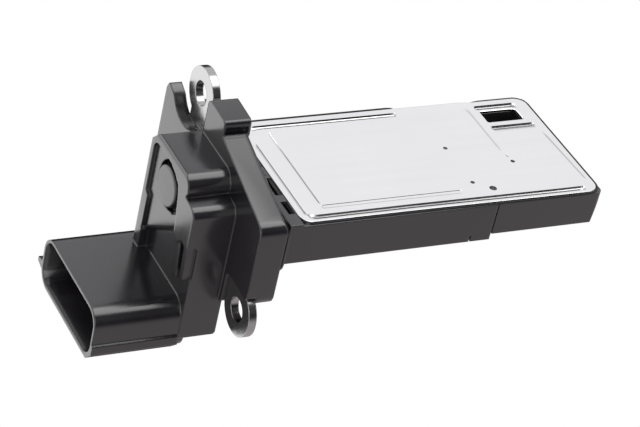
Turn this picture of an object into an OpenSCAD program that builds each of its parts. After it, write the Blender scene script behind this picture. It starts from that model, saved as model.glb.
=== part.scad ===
// Plug-in mass air flow sensor.
// x runs along the blade towards its tip, y across the blade, z up through its metal cover.
// The origin is the middle of the screw pattern, on the back of the metal ears that the
// screws clamp to the air duct.

/* [Flange] */
// Thickness of the moulded flange
flange_t = 5.1; // [4.6:0.1:6]
// Distance from the middle of the flange to its near and far sides
flange_half_w = 17.3; // [16.8:0.1:18.5]
// Height of the flange's outer corners
flange_corner_z = 6.3; // [5.8:0.1:7]
// Height of the sloping edge where the boss begins
flange_ridge_z = 12.1; // [11.4:0.1:12.8]
// Radius of the flange's outer corners
flange_corner_r = 2.4; // [1:0.1:3]
// Radius along the sloping edge at the back of the flange
back_edge_r = 0.9; // [0.4:0.1:1.2]
// Height of the boss
boss_z = 15.3; // [14:0.1:16.5]
// Distance from the middle to the side where the boss begins
boss_from = 2.1; // [1.6:0.1:3]
// Distance from the middle to the side where the boss ends, by the screw
boss_to = 9; // [7.6:0.1:9.2]
// Distance between the two screw holes
screw_pitch = 37.8; // [37.2:0.1:39]
// Angle of the line through the screw holes
screw_angle = 44.2; // [43:0.1:45.5]
// Diameter of the screw holes
screw_hole_d = 4.5; // [3.4:0.1:5.2]
// Distance from a screw's middle to the moulding in front of its ear
screw_room = 4.9; // [4.4:0.1:5.2]
// Distance from a screw's middle to the moulding behind its ear
screw_back_room = 2.9; // [2.7:0.1:4]

/* [Horn] */
// Distance from the middle of the flange to the horn's far side
horn_far = 21.9; // [20:0.1:23]
// How far the horn stands out in front of the flange
horn_front = 1.55; // [1:0.05:2.2]
// Height of the horn's far side
horn_side_z = 9.3; // [8.6:0.1:10]
// Radius of the hollow that leaves room for the screw's driver
driver_room_r = 6.3; // [6:0.1:6.7]

/* [Mounting plate] */
// Thickness of the stamped mounting plate
ear_plate_t = 1.5; // [1:0.1:2]
// Depth of moulding in front of the mounting plate
ear_plate_depth = 0.75; // [0.5:0.05:1.2]
// Radius of the ears around the screw holes
ear_r = 4.85; // [4.2:0.05:4.9]

/* [Neck and seal] */
// Length of the neck from the seat face to the root of the blade
neck_len = 1.8; // [1.7:0.1:2.4]
// Width of the neck's collar across the blade
neck_w = 30.7; // [30.5:0.1:31.2]
// Height of the neck's collar
neck_h = 10.8; // [10.6:0.1:12]
// Distance from the collar's middle down from the flange's middle
neck_drop = 0.4; // [0:0.1:0.8]
// Corner radius of the neck's collar
neck_r = 3; // [2.8:0.1:4]
// Thickness of the sealing ring
seal_d = 1.3; // [1.1:0.05:1.35]
// Room beside the sealing ring in its groove
seal_gap = 0.1; // [0.05:0.05:0.15]
// How far the sealing ring stands out of the collar
seal_proud = 0.35; // [0.2:0.05:0.6]

/* [Blade] */
// Width of the blade
blade_w = 30.3; // [29:0.1:32]
// Thickness of the blade with its metal cover
blade_t = 8.1; // [7.8:0.1:9]
// Height of the metal cover's top
blade_top_z = 5; // [4.6:0.1:5.6]
// Distance from the seat face to the metal cover
root_len = 4.1; // [4:0.05:4.8]
// Length of the metal cover
cover_len = 59.3; // [58.5:0.1:62]
// Length of the separate tip under the metal cover
tip_len = 21.1; // [20.9:0.1:21.6]
// How much thinner the tip is than the rest of the blade
tip_step = 1.15; // [0.6:0.05:1.4]
// How far the tip leans back from its top edge to its bottom edge
tip_draft = 1; // [0.2:0.1:1.2]
// How far the tip's top edge reaches past the end of the metal cover
tip_over = 0.65; // [0.3:0.05:0.8]
// Corner radius of the tip seen from above
tip_r = 1.2; // [0.8:0.1:1.8]
// Width of the groove where the tip's sides meet the rest of the blade
seam_w = 0.25; // [0.1:0.05:0.4]
// Depth of the groove where the tip's sides meet the rest of the blade
seam_depth = 0.4; // [0.2:0.1:0.6]

/* [Metal cover] */
// Thickness of the metal cover sheet
cover_t = 0.5; // [0.4:0.05:0.6]
// How far the metal cover stays in from the blade's sides
cover_inset = 0.1; // [0.05:0.05:0.3]
// Corner radius of the metal cover seen from above
cover_r = 2.4; // [1.8:0.1:2.8]
// Distance from the metal cover's near and root edges to its border groove
border_in = 1.2; // [0.8:0.1:1.4]
// Distance from the metal cover's far edge to its border groove
border_far_in = 1.7; // [1.2:0.1:2]
// Width of the border groove
border_w = 0.8; // [0.5:0.1:1]
// Depth of the border groove and of the pressed bars
press_depth = 0.2; // [0.1:0.05:0.3]
// Length of the border groove along the far edge
far_border_len = 30.2; // [26:0.1:34]
// Length of the fine groove along the near edge
fine_groove_len = 28; // [24:0.1:32]
// Distance of the fine groove from the metal cover's root edge
fine_groove_x = 5; // [4:0.1:6]
// Distance of the fine groove from the metal cover's near edge
fine_groove_y = 4.3; // [3.6:0.1:5]
// Length of the window in the metal cover
window_len = 7.5; // [6.5:0.1:8]
// Width of the window in the metal cover
window_w = 3.4; // [2.8:0.1:3.6]
// Distance from the window to the end of the metal cover
window_from_end = 3.2; // [3:0.1:4]
// Distance from the middle of the blade to the window's middle
window_y = 9.85; // [9.4:0.05:10.2]
// Diameter of the small gauge holes
gauge_hole_d = 0.85; // [0.5:0.05:1]
// Diameter of the large gauge hole
gauge_hole_big_d = 1.4; // [1:0.1:1.8]

/* [Head] */
// Width of the head
head_w = 20.2; // [19.6:0.1:20.6]
// Distance from the flange's middle to the head's middle
head_y = 2; // [1.8:0.1:2.3]
// Depth of the head in front of the flange
head_depth = 8; // [7.4:0.1:9]
// Height of the head's top
head_top_z = 8.5; // [8:0.1:9]
// Depth of the head's bottom below the middle
head_bottom_z = 23; // [22.4:0.1:24]
// How far the top of the head is set back from its near side
head_setback = 3.7; // [3:0.1:4.2]
// Height of the shoulder below that setback
shoulder_z = 4.2; // [3.8:0.1:4.4]
// Length of the ribs above the connector's near side
rib_len = 7.9; // [6.5:0.1:8.4]
// How far the front block stands out above the connector
front_step = 1.7; // [1.4:0.1:2.2]
// Depth of the flat panel in the front block
panel_depth = 0.6; // [0.3:0.1:0.9]
// Radius of the round plug in the panel
plug_r = 3.8; // [3.2:0.1:4]
// How far the plug stands out of the panel
plug_proud = 0.3; // [0.1:0.05:0.5]
// Distance from the flange's middle to the plug's middle across the blade
plug_y = 4.1; // [3.9:0.1:4.6]
// Height of the plug's middle
plug_z = 1.2; // [0.9:0.1:1.5]
// How deep the plug sits in the head
plug_seat = 2.6; // [2.2:0.1:3]
// Depth of the hollow beside the plug
hollow_depth = 1.1; // [0.7:0.1:1.4]
// Radius of the head's front edges
front_r = 0.8; // [0.4:0.1:1]

/* [Connector] */
// Inside width of the connector socket
socket_w = 22.2; // [21.6:0.1:22.6]
// Inside height of the connector socket
socket_h = 8.3; // [7.8:0.1:9]
// Depth of the connector socket
socket_depth = 14.4; // [13:0.1:16]
// Wall of the connector shroud
socket_wall = 1; // [0.9:0.05:1.3]
// How far the mouth of the socket flares into that wall
mouth_flare = 0.45; // [0.2:0.05:0.6]
// Sideways offset of the socket's middle
socket_y = 4.2; // [3.9:0.1:4.5]
// Depth of the socket's middle below the blade's middle
socket_z = 20.8; // [20.2:0.1:21.4]
// Corner radius inside the socket
socket_r = 2.4; // [1.6:0.1:3]
// Height of the keying rail along the lower near edge
rail_size = 3.9; // [3.4:0.1:4.2]
// How far the keying rail stands out of the near side
rail_proud = 0.4; // [0.2:0.05:0.6]
// How far the latch rib stands out of the far side
latch_rib = 1.8; // [1:0.1:2.2]

/* [Terminals] */
// Distance between neighbouring terminals
terminal_pitch = 3.3; // [2.6:0.1:3.5]
// Width and thickness of a terminal
terminal_size = 0.64; // [0.5:0.02:0.8]
// Length of a terminal inside the socket
terminal_reach = 7.5; // [6:0.1:9]
// Gap between a moulded-in piece and the moulding
insert_gap = 0.02; // [0.01:0.01:0.05]

/* [Circuit] */
// Length of the circuit pocket
pocket_len = 30.5; // [30:0.1:31.5]
// Room in the circuit pocket beside the outermost terminal
pocket_room = 0.38; // [0.3:0.02:0.6]
// Thickness of the lid under the circuit pocket
lid_t = 1; // [0.8:0.05:1.2]
// Thickness of the circuit board
board_t = 0.8; // [0.5:0.05:1]
// Thickness of the glue between board and metal cover
glue_t = 0.1; // [0.05:0.01:0.2]
// Side of the control chip
chip_side = 7; // [5:0.1:8]
// Thickness of the control chip
chip_t = 0.9; // [0.6:0.05:1.1]
// Height of the capacitors
capacitor_h = 1.3; // [0.8:0.05:1.6]
// Thickness of the flow sensing chip
flow_chip_t = 0.4; // [0.3:0.05:0.6]
// Width of the air passage in the tip
passage_w = 3.8; // [3:0.1:3.9]
// Depth of the air passage in the tip
passage_h = 3.9; // [3:0.1:3.9]
// Diameter of the thermistor bead
bead_d = 1.8; // [1.2:0.1:2.2]
// Diameter of the thermistor's leads
lead_d = 0.4; // [0.3:0.05:0.5]
// Gap between the sealing gel and the pieces in it
gel_gap = 0.05; // [0.02:0.01:0.1]

/* [Hidden] */
$fn = 48;

plastic_colour = "#26272b";
metal_colour = "#d9dadd";
terminal_count = 5;
overcut = 0.5;

// Screw holes, seen along x
screw_y = screw_pitch / 2 * cos(screw_angle);
screw_z = screw_pitch / 2 * sin(screw_angle);

// Stations along x
plate_x0 = -ear_plate_t;
flange_x0 = plate_x0 - ear_plate_depth;
flange_x1 = flange_x0 + flange_t;
horn_x0 = flange_x0 - horn_front;
head_x0 = flange_x0 - head_depth;
head_base_x0 = head_x0 + front_step;
mouth_x = head_x0 - socket_depth;
shroud_x1 = head_base_x0 + 1.2;
neck_x1 = flange_x1 + neck_len;
cover_x0 = flange_x1 + root_len;
blade_x1 = cover_x0 + cover_len;
seam_x = blade_x1 - tip_len;

// Levels along z
cover_z0 = blade_top_z - cover_t;
blade_z0 = blade_top_z - blade_t;
tip_z0 = blade_z0 + tip_step;
root_z1 = blade_top_z - 0.1;
lid_z1 = blade_z0 + lid_t;
board_z0 = cover_z0 - glue_t - board_t;

// Circuit pocket and its lid
pocket_w = 2 * (socket_y + (terminal_count - 1) / 2 * terminal_pitch + terminal_size / 2 + pocket_room);
pocket_x1 = seam_x - 3.45;
pocket_x0 = pocket_x1 - pocket_len;
shelf_len = 3.2;
board_x0 = pocket_x0 + shelf_len + 0.3;
board_x1 = pocket_x1 - 0.7;
board_w = pocket_w - 2;
lid_margin = 1.6;
lid_gap = 0.1;
bead_w = 0.8;
bead_h = 0.4;

// Terminals run from the socket up through the head and along the neck to the pocket
terminal_z1 = board_z0 - 0.76;
terminal_z0 = terminal_z1 - terminal_size;
riser_x1 = flange_x0 - 2.6;
pad_len = 2.6;

// Air passage in the tip: in at the far side, past the sensing chip, out at the window
passage_z0 = cover_z0 - passage_h;
inlet_leg_x = seam_x + 3.55;
outlet_leg_x = blade_x1 - window_from_end - window_len + 0.6;
turn_y = -11.8;
window_x0 = blade_x1 - window_from_end - window_len;
tongue_w = 4;
tongue_y0 = -4;
tongue_x1 = inlet_leg_x + passage_w - 0.3;
thermistor_y = 4.6;
thermistor_x = outlet_leg_x + passage_w / 2;
thermistor_z = board_z0 - lead_d / 2;
lead_x0 = board_x1 - 1.5;

// Points of an arc of radius r that rounds the corner p1 between p0 and p2
function corner_arc(p0, p1, p2, r, n) =
    let (
        u = (p0 - p1) / norm(p0 - p1),
        v = (p2 - p1) / norm(p2 - p1),
        half = acos(u * v) / 2,
        c = p1 + (u + v) / norm(u + v) * r / sin(half),
        a = p1 + u * r / tan(half) - c,
        b = p1 + v * r / tan(half) - c,
        start = atan2(a.y, a.x),
        turn = atan2(a.x * b.y - a.y * b.x, a * b)
    )
    [for (i = [0:n]) c + r * [cos(start + turn * i / n), sin(start + turn * i / n)]];

// A closed outline with each corner rounded by its own radius, zero for a sharp one
function rounded(points, radii, n = 8) =
    let (count = len(points))
    [
        for (i = [0:count - 1])
            each radii[i] > 0
                ? corner_arc(points[(i + count - 1) % count], points[i], points[(i + 1) % count], radii[i], n)
                : [points[i]]
    ];

// A rectangle between two corners, rounded by one radius
function rounded_box(low, high, r, n = 8) =
    rounded([low, [high.x, low.y], high, [low.x, high.y]], [r, r, r, r], n);

// Carries an outline drawn in y and z along x
module along_x(x0, x1) {
    translate([x0, 0, 0])
        rotate([90, 0, 90])
            linear_extrude(x1 - x0)
                children();
}

// Carries an outline drawn in x and z along y
module along_y(y0, y1) {
    translate([0, y1, 0])
        rotate([90, 0, 0])
            linear_extrude(y1 - y0)
                children();
}

// A block between two corners
module block(low, high) {
    translate(low)
        cube(high - low);
}

// Cutter that rounds the edge along y between two faces, for a solid at positive x and z
module round_edge(length, r) {
    along_y(0, length)
        polygon(concat(
            [[r, -overcut], [-overcut, -overcut], [-overcut, r]],
            corner_arc([0, 2 * r], [0, 0], [2 * r, 0], r, 6)
        ));
}

// One half of the flange's outline in y and z, from one top corner to the screw
function flange_half(room) = [
    [-flange_half_w, flange_corner_z],
    [boss_from - 0.2, flange_ridge_z],
    [boss_from, boss_z - 0.4],
    [boss_to, boss_z],
    [boss_to, screw_z - room],
    [screw_y, screw_z - room],
    [flange_half_w, screw_z - room + 0.3]
];
function flange_radii(side_r) = [flange_corner_r, 0.3, 0.8, 1, 1.2, 0, side_r];

// Outline of the flange: its halves are alike when turned, apart from the room at each screw
function flange_outline(far_room, near_room, side_r) = rounded(
    concat(flange_half(far_room), -flange_half(near_room)),
    concat(flange_radii(side_r), flange_radii(side_r))
);

// Sides of the head in y
head_near = head_y - head_w / 2;
head_far = head_y + head_w / 2;
upper_near = head_near + head_setback;

// Far top corner of the head, then its near top corner with a small groove above the shoulder
head_crown_r = 2.8;
groove_in = 0.35;
head_corner = [
    [head_far, head_top_z - head_crown_r],
    [head_far - head_crown_r, head_top_z],
    [upper_near, head_top_z],
    [upper_near, shoulder_z + 1.1],
    [upper_near + groove_in, shoulder_z + 0.9],
    [upper_near + groove_in, shoulder_z + 0.4],
    [head_near, shoulder_z]
];
head_corner_radii = [1.2, 1.2, head_crown_r, 0.1, 0, 0.1, 2.2];

// Outline of the head in y and z
head_outline = rounded(
    concat(head_corner, [[head_near, -head_bottom_z], [head_far, -head_bottom_z]]),
    concat(head_corner_radii, [0.4, 1])
);

// Outline of the part of the head that stands out above the connector
shroud_top = socket_wall + socket_h / 2 - socket_z;
rim_w = 1.7;
rim_foot_w = 2.7;
panel_near = head_near + 5.8;
panel_near_z = shoulder_z - 7.8;
panel_far_z = shoulder_z - 16.1;
front_outline = rounded(
    concat(
        head_corner,
        [
            [head_near, shoulder_z - 7.6],
            [head_near + 1, shoulder_z - 7.9],
            [head_near + 2.6, shoulder_z - 7.5],
            [head_near + 4.5, shoulder_z - 9.3],
            [panel_near, panel_near_z],
            [head_far - rim_foot_w, panel_far_z],
            [head_far - rim_foot_w, shroud_top - 0.2],
            [head_far, shroud_top - 0.2]
        ]
    ),
    concat(head_corner_radii, [0.3, 0.3, 0.5, 0.3, 0, 0, 0, 0])
);

// Panel in the front block, open at its lower edge: narrower rim above, wider rim below
panel_top_z = head_top_z - 1.7;
panel_step_z = shoulder_z - 8.7;
panel_outline = rounded(
    [
        [plug_y - 1, panel_top_z],
        [upper_near + 3.8, panel_top_z - 1.8],
        [upper_near + 3.2, plug_z + 2],
        [upper_near + 2.5, plug_z - 2],
        [panel_near, panel_near_z],
        [panel_near, panel_near_z - 3],
        [head_far - rim_foot_w, panel_far_z - 3],
        [head_far - rim_foot_w, panel_step_z],
        [head_far - rim_w, panel_step_z + 0.6],
        [head_far - rim_w, panel_top_z]
    ],
    [1.2, 1, 0.6, 0.6, 0, 0, 0, 0.2, 0.2, 1.8]
);

// Inside of the socket, and the shroud around it
socket_low = [socket_y - socket_w / 2, -socket_z - socket_h / 2];
socket_high = [socket_y + socket_w / 2, -socket_z + socket_h / 2];
socket_outline = rounded_box(socket_low, socket_high, socket_r);
shroud_outline = rounded_box(
    socket_low - [socket_wall, socket_wall],
    socket_high + [socket_wall, socket_wall],
    socket_r + socket_wall
);

// Outlines of the neck's collar and of the floor of its groove
seal_out = seal_d - seal_proud;
collar_low = [-neck_w / 2, -neck_h / 2 - neck_drop];
collar_high = [neck_w / 2, neck_h / 2 - neck_drop];
collar_outline = rounded_box(collar_low, collar_high, neck_r);
groove_outline = rounded_box(
    collar_low + [seal_out, seal_out],
    collar_high - [seal_out, seal_out],
    neck_r - seal_out
);
groove_w = seal_d + seal_gap;

// Outlines seen from above
tip_outline = rounded(
    [
        [seam_x, -blade_w / 2],
        [blade_x1 + tip_over, -blade_w / 2],
        [blade_x1 + tip_over, blade_w / 2],
        [seam_x, blade_w / 2]
    ],
    [0, tip_r, tip_r, 0]
);
cover_outline = rounded_box(
    [cover_x0, -blade_w / 2 + cover_inset],
    [blade_x1, blade_w / 2 - cover_inset],
    cover_r
);

// Small moulded slots between the neck and the metal cover: middle, length across and width
ledge_slots = [[3, 2, 1.3], [0.5, 2.6, 0.6], [-3.8, 5, 1.3], [-10, 3.6, 1.1]];
ledge_slot_x = cover_x0 - 1.4;
ledge_slot_depth = 1.4;

// Half of the stamped plate's outline: the hidden edge, then one ear's round end
plate_edge = [
    [-flange_half_w + 1.5, flange_corner_z - 1.8],
    [-flange_half_w + 3.3, flange_corner_z - 0.4],
    [-3, flange_ridge_z - 2.5],
    [boss_from + 0.8, flange_ridge_z - 0.8],
    [boss_from + 2, boss_z - 2.2]
];
ear_start = 170;
ear_turn = -230;
ear_points = [
    for (i = [0:24])
        [screw_y, screw_z] + ear_r * [
            cos(ear_start + ear_turn * i / 24),
            sin(ear_start + ear_turn * i / 24)
        ]
];
plate_half = concat(plate_edge, ear_points);

// Stamped plate with an ear at each screw hole and a window for the moulding
module mounting_plate_shape() {
    difference() {
        along_x(plate_x0, 0)
            polygon(concat(plate_half, -plate_half));
        along_x(plate_x0 - overcut, overcut)
            polygon(rounded_box([-6.5, -5], [12.6, 6], 1));
        for (side = [-1, 1])
            translate([plate_x0 - overcut, side * screw_y, side * screw_z])
                rotate([0, 90, 0])
                    cylinder(h = ear_plate_t + 2 * overcut, d = screw_hole_d);
    }
}

// One terminal, drawn in x and z and grown by a gap all round
module terminal_shape(index, grow = 0) {
    y = socket_y + (index - (terminal_count + 1) / 2) * terminal_pitch;
    half = terminal_size / 2 + grow;
    low = -socket_z - half;
    top = terminal_z1 + grow;
    tip_x = head_x0 - terminal_reach - grow;
    pad_x = pocket_x0 + pad_len + grow;
    along_y(y - half, y + half)
        polygon([
            [tip_x, low + half / 2],
            [tip_x + 1, low],
            [riser_x1 + grow, low],
            [riser_x1 + grow, terminal_z0 - grow],
            [pad_x, terminal_z0 - grow],
            [pad_x, top],
            [riser_x1 - terminal_size - grow, top],
            [riser_x1 - terminal_size - grow, low + 2 * half],
            [tip_x + 1, low + 2 * half],
            [tip_x, low + 1.5 * half]
        ]);
}

// A flat ring between two rectangles, for a bead of sealant
module sealant_ring(low, high, z0, z1) {
    inset = [bead_w, bead_w];
    translate([0, 0, z0])
        linear_extrude(z1 - z0)
            difference() {
                polygon(rounded_box(low, high, 1.2, 4));
                polygon(rounded_box(low + inset, high - inset, 0.4, 4));
            }
}

// Bead between the metal cover and the ledge around the circuit pocket, open for the tongue
module cover_sealant_shape() {
    difference() {
        sealant_ring(
            [pocket_x0 + shelf_len - 2.2, -pocket_w / 2 - 1.9],
            [pocket_x1 + 1.9, pocket_w / 2 + 1.9],
            cover_z0 - bead_h, cover_z0
        );
        tongue_slot();
    }
}

// Way out of the pocket for the board's tongue
module tongue_slot() {
    block(
        [pocket_x1 - overcut, tongue_y0 - 0.1, board_z0 - 0.1],
        [inlet_leg_x + 0.1, tongue_y0 + tongue_w + 0.1, cover_z0 + overcut]
    );
}

// Way out of the pocket for one thermistor lead
module lead_slot(side) {
    block(
        [pocket_x1 - overcut, lead_y(side) - lead_d / 2 - 0.1, thermistor_z - lead_d / 2 - 0.1],
        [outlet_leg_x + 0.1, lead_y(side) + lead_d / 2 + 0.1, cover_z0 + overcut]
    );
}

// Bead between the lid and the moulding
module lid_sealant_shape() {
    sealant_ring(
        [pocket_x0 - lid_margin + 0.3, -pocket_w / 2 - lid_margin + 0.3],
        [pocket_x1 + lid_margin - 0.3, pocket_w / 2 + lid_margin - 0.3],
        lid_z1, lid_z1 + bead_h
    );
}

// Moulded neck with its groove, and the root of the blade
module neck_solid() {
    along_x(flange_x1 - overcut, flange_x1 + groove_w + overcut / 2)
        polygon(groove_outline);
    along_x(flange_x1 + groove_w, neck_x1)
        polygon(collar_outline);
    difference() {
        block([neck_x1 - overcut / 2, -blade_w / 2, blade_z0], [cover_x0, blade_w / 2, root_z1]);
        for (slot = ledge_slots)
            block(
                [ledge_slot_x, slot[0] - slot[1] / 2, root_z1 - ledge_slot_depth],
                [ledge_slot_x + slot[2], slot[0] + slot[1] / 2, root_z1 + overcut]
            );
    }
}

// Blade behind the tip, with the circuit pocket and the seat of its lid
module blade_solid() {
    difference() {
        block([cover_x0 - overcut, -blade_w / 2, blade_z0], [seam_x, blade_w / 2, cover_z0]);
        block([pocket_x0, -pocket_w / 2, blade_z0 - overcut], [pocket_x1, pocket_w / 2, terminal_z1]);
        block(
            [pocket_x0 + shelf_len, -pocket_w / 2, lid_z1],
            [pocket_x1, pocket_w / 2, cover_z0 + overcut]
        );
        block(
            [pocket_x0 - lid_margin - lid_gap, -pocket_w / 2 - lid_margin - lid_gap, blade_z0 - overcut],
            [pocket_x1 + lid_margin + lid_gap, pocket_w / 2 + lid_margin + lid_gap, lid_z1]
        );
        tongue_slot();
        for (side = [-1, 1])
            lead_slot(side);
        block(
            [pocket_x1 - 0.8, -blade_w / 2 - overcut, blade_z0 - overcut],
            [pocket_x1 - 0.5, -blade_w / 2 + 0.5, blade_z0 + 1.3]
        );
        cover_sealant_shape();
        lid_sealant_shape();
    }
}

// Position of one thermistor lead across the blade
function lead_y(side) = thermistor_y + side * bead_d / 3;

// Connector shroud with its keying rail and latch rib
module shroud_solid() {
    foot = socket_low.y - socket_wall;
    along_x(mouth_x, shroud_x1)
        polygon(shroud_outline);
    side = socket_low.x - socket_wall;
    along_x(mouth_x, head_base_x0)
        polygon(rounded(
            [
                [side - rail_proud, foot + rail_size],
                [side - rail_proud, foot + 2],
                [side + 1.6, foot],
                [socket_low.x + socket_r + 1, foot],
                [socket_low.x + socket_r + 1, foot + socket_wall / 2],
                [socket_low.x - socket_wall / 2, foot + rail_size]
            ],
            [0.25, 0.3, 0.3, 0, 0, 0]
        ));
    along_x(mouth_x, mouth_x + 6)
        polygon([
            [socket_high.x + socket_wall / 2, -socket_z - 2.9],
            [socket_high.x + socket_wall + latch_rib, -socket_z - 2.3],
            [socket_high.x + socket_wall + latch_rib, -socket_z - 1.5],
            [socket_high.x + socket_wall / 2, -socket_z - 0.9]
        ]);
}

// Space inside the shroud, with a flared mouth that leads the plug in
module socket_space() {
    flare = [mouth_flare, mouth_flare];
    along_x(mouth_x - overcut, head_x0)
        polygon(socket_outline);
    hull() {
        along_x(mouth_x - overcut, mouth_x)
            polygon(rounded_box(socket_low - flare, socket_high + flare, socket_r + mouth_flare));
        along_x(mouth_x - overcut, mouth_x + 2 * mouth_flare)
            polygon(socket_outline);
    }
}

// Head between the flange and the connector, with two ribs above the connector's near side
module head_solid() {
    rib_top = shoulder_z - 6.5;
    rib_foot = rib_top - rib_len;
    rib_x0 = head_x0 + 0.45;
    side_cut_x1 = head_base_x0 + 0.35;
    difference() {
        union() {
            along_x(head_base_x0, flange_x0 + overcut)
                polygon(head_outline);
            along_x(flange_x0, plate_x0)
                polygon(rounded_box(
                    [head_near, -head_bottom_z],
                    [head_far, screw_z - screw_room],
                    0.8
                ));
            difference() {
                along_x(head_x0, head_base_x0 + overcut)
                    polygon(front_outline);
                front_edges();
            }
        }
        block(
            [head_base_x0 - overcut, head_near - overcut, rib_foot + 0.1],
            [side_cut_x1, head_near + 2.4, shoulder_z - 7.8]
        );
        along_x(head_x0 - overcut, head_x0 + panel_depth)
            polygon(panel_outline);
        plug_pocket();
    }
    along_x(rib_x0, side_cut_x1 + 0.2)
        polygon([
            [head_near + 3.9, rib_top],
            [head_near + 5, rib_top],
            [head_near + 4.3, rib_foot - 1.6],
            [head_near + 2.9, rib_foot - 1.2]
        ]);
    along_x(rib_x0, side_cut_x1 + 0.2)
        polygon([
            [head_near + 0.7, rib_top],
            [head_near + 2.2, rib_top],
            [head_near + 1.7, rib_foot - 0.3],
            [head_near + 0.5, rib_foot]
        ]);
}

// Cutters that round the edges of the head's front face
module front_edges() {
    tall = head_top_z - shroud_top;
    near_tall = shoulder_z - panel_near_z;
    translate([head_x0, head_near, head_top_z])
        mirror([0, 0, 1])
            round_edge(head_w, front_r);
    translate([head_x0, head_far, shroud_top - overcut])
        rotate([90, 0, 0])
            round_edge(tall, front_r);
    translate([head_x0, head_near, panel_near_z - 1])
        mirror([0, 1, 0])
            rotate([90, 0, 0])
                round_edge(near_tall, front_r / 2);
    panel_drop = panel_near_z - panel_far_z;
    panel_run = head_far - rim_foot_w - panel_near;
    translate([head_x0 + panel_depth, panel_near, panel_near_z])
        rotate([-atan2(panel_drop, panel_run), 0, 0])
            round_edge(norm([panel_run, panel_drop]), front_r);
}

// Round pocket for the plug, with a crescent hollow beside its upper near side and a notch below
plug_face_x = head_x0 + panel_depth - plug_proud;
plug_x1 = head_x0 + panel_depth + plug_seat;
hollow_shift = [-0.9, 0.7];
hollow_r = plug_r + 0.8;
module plug_pocket() {
    translate([plug_face_x - overcut, plug_y, plug_z])
        rotate([0, 90, 0])
            cylinder(h = plug_x1 - plug_face_x + overcut, r = plug_r);
    translate([head_x0 - overcut, plug_y + hollow_shift.x, plug_z + hollow_shift.y])
        rotate([0, 90, 0])
            cylinder(h = panel_depth + hollow_depth + overcut, r = hollow_r);
    along_x(head_x0 - overcut, head_x0 + panel_depth + hollow_depth / 2)
        polygon([
            [plug_y - 0.6, plug_z - plug_r + 0.5],
            [plug_y - 3.4, plug_z - plug_r + 0.2],
            [plug_y - 5.4, plug_z - 2.2],
            [plug_y - 4.6, plug_z - 0.6],
            [plug_y - 2, plug_z - 1]
        ]);
}

// Flange in front of and behind the mounting plate, with a slot in the side of the boss
module flange_solid() {
    back_side_r = 2.4;
    slope = atan2(flange_ridge_z - flange_corner_z, flange_half_w + boss_from - 0.2);
    slope_len = norm([flange_half_w + boss_from - 0.2, flange_ridge_z - flange_corner_z]);
    difference() {
        union() {
            along_x(flange_x0, 0)
                polygon(flange_outline(driver_room_r + 0.2, screw_room, 0.8));
            along_x(-overcut / 2, flange_x1)
                polygon(flange_outline(screw_back_room, screw_back_room, back_side_r));
        }
        translate([flange_x1, -flange_half_w, flange_corner_z])
            rotate([slope, 0, 0])
                mirror([1, 0, 0])
                    mirror([0, 0, 1])
                        round_edge(slope_len, back_edge_r);
        block(
            [flange_x0 + 0.4, boss_from - 1, flange_ridge_z + 0.15],
            [flange_x1 - 0.4, boss_from + 0.9, boss_z - 1.65]
        );
    }
}

// Horn beside the far screw, hollowed for the screw's driver
module horn_solid() {
    difference() {
        along_x(horn_x0, plate_x0)
            polygon(rounded(
                [
                    [head_far - 3, -flange_corner_z],
                    [horn_far, -flange_corner_z],
                    [horn_far, horn_side_z],
                    [horn_far - 0.7, horn_side_z + 1.4],
                    [horn_far - 3.7, horn_side_z + 0.1],
                    [head_far - 3, horn_side_z - 2]
                ],
                [0, 1, 0.3, 0.3, 0, 0]
            ));
        translate([horn_x0 - overcut, screw_y, screw_z])
            rotate([0, 90, 0])
                cylinder(h = plate_x0 - horn_x0 + 2 * overcut, r = driver_room_r);
    }
}

module housing() {
    color(plastic_colour)
        difference() {
            union() {
                flange_solid();
                horn_solid();
                head_solid();
                shroud_solid();
                neck_solid();
                blade_solid();
            }
            mounting_plate_shape();
            socket_space();
            for (index = [1:terminal_count])
                terminal_shape(index, insert_gap);
        }
}

module mounting_plate() {
    color(metal_colour)
        mounting_plate_shape();
}

// Separate end of the blade, which holds the air passage under the metal cover
module tip_housing() {
    color(plastic_colour)
        difference() {
            intersection() {
                translate([0, 0, tip_z0])
                    linear_extrude(cover_z0 - tip_z0)
                        polygon(tip_outline);
                along_y(-blade_w, blade_w)
                    polygon([
                        [seam_x - 1, tip_z0 - 1],
                        [blade_x1 + tip_over - tip_draft, tip_z0 - 0.01],
                        [blade_x1 + tip_over, cover_z0],
                        [seam_x - 1, cover_z0]
                    ]);
            }
            air_passage();
            tongue_slot();
            for (side = [-1, 1])
                lead_slot(side);
            for (side = [-1, 1])
                seam_groove(side);
        }
}

// Groove in one side of the tip, along its seam with the rest of the blade
module seam_groove(side) {
    y = side * blade_w / 2;
    block(
        [seam_x - overcut, min(y - side * seam_depth, y + side * overcut), tip_z0 - overcut],
        [seam_x + seam_w, max(y - side * seam_depth, y + side * overcut), cover_z0 + overcut]
    );
}

// Passage that lets air in at the far side, turns it round and lets it out at the window
module air_passage() {
    block(
        [inlet_leg_x, turn_y, passage_z0],
        [inlet_leg_x + passage_w, blade_w / 2 + overcut, cover_z0 + overcut]
    );
    block(
        [inlet_leg_x, turn_y, passage_z0],
        [outlet_leg_x + passage_w, turn_y + passage_w, cover_z0 + overcut]
    );
    block(
        [outlet_leg_x, turn_y, passage_z0],
        [outlet_leg_x + passage_w, window_y, cover_z0 + overcut]
    );
    block(
        [window_x0, window_y - window_w / 2, passage_z0],
        [window_x0 + window_len, window_y + window_w / 2, cover_z0 + overcut]
    );
}

// Gauge holes in the metal cover: distance from its root end, from the blade's middle, diameter
gauge_holes = [
    [36.1, 1.75, gauge_hole_d],
    [36.1, -8.85, gauge_hole_d],
    [47, -4.05, gauge_hole_d],
    [39.1, -11.15, gauge_hole_big_d]
];

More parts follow.
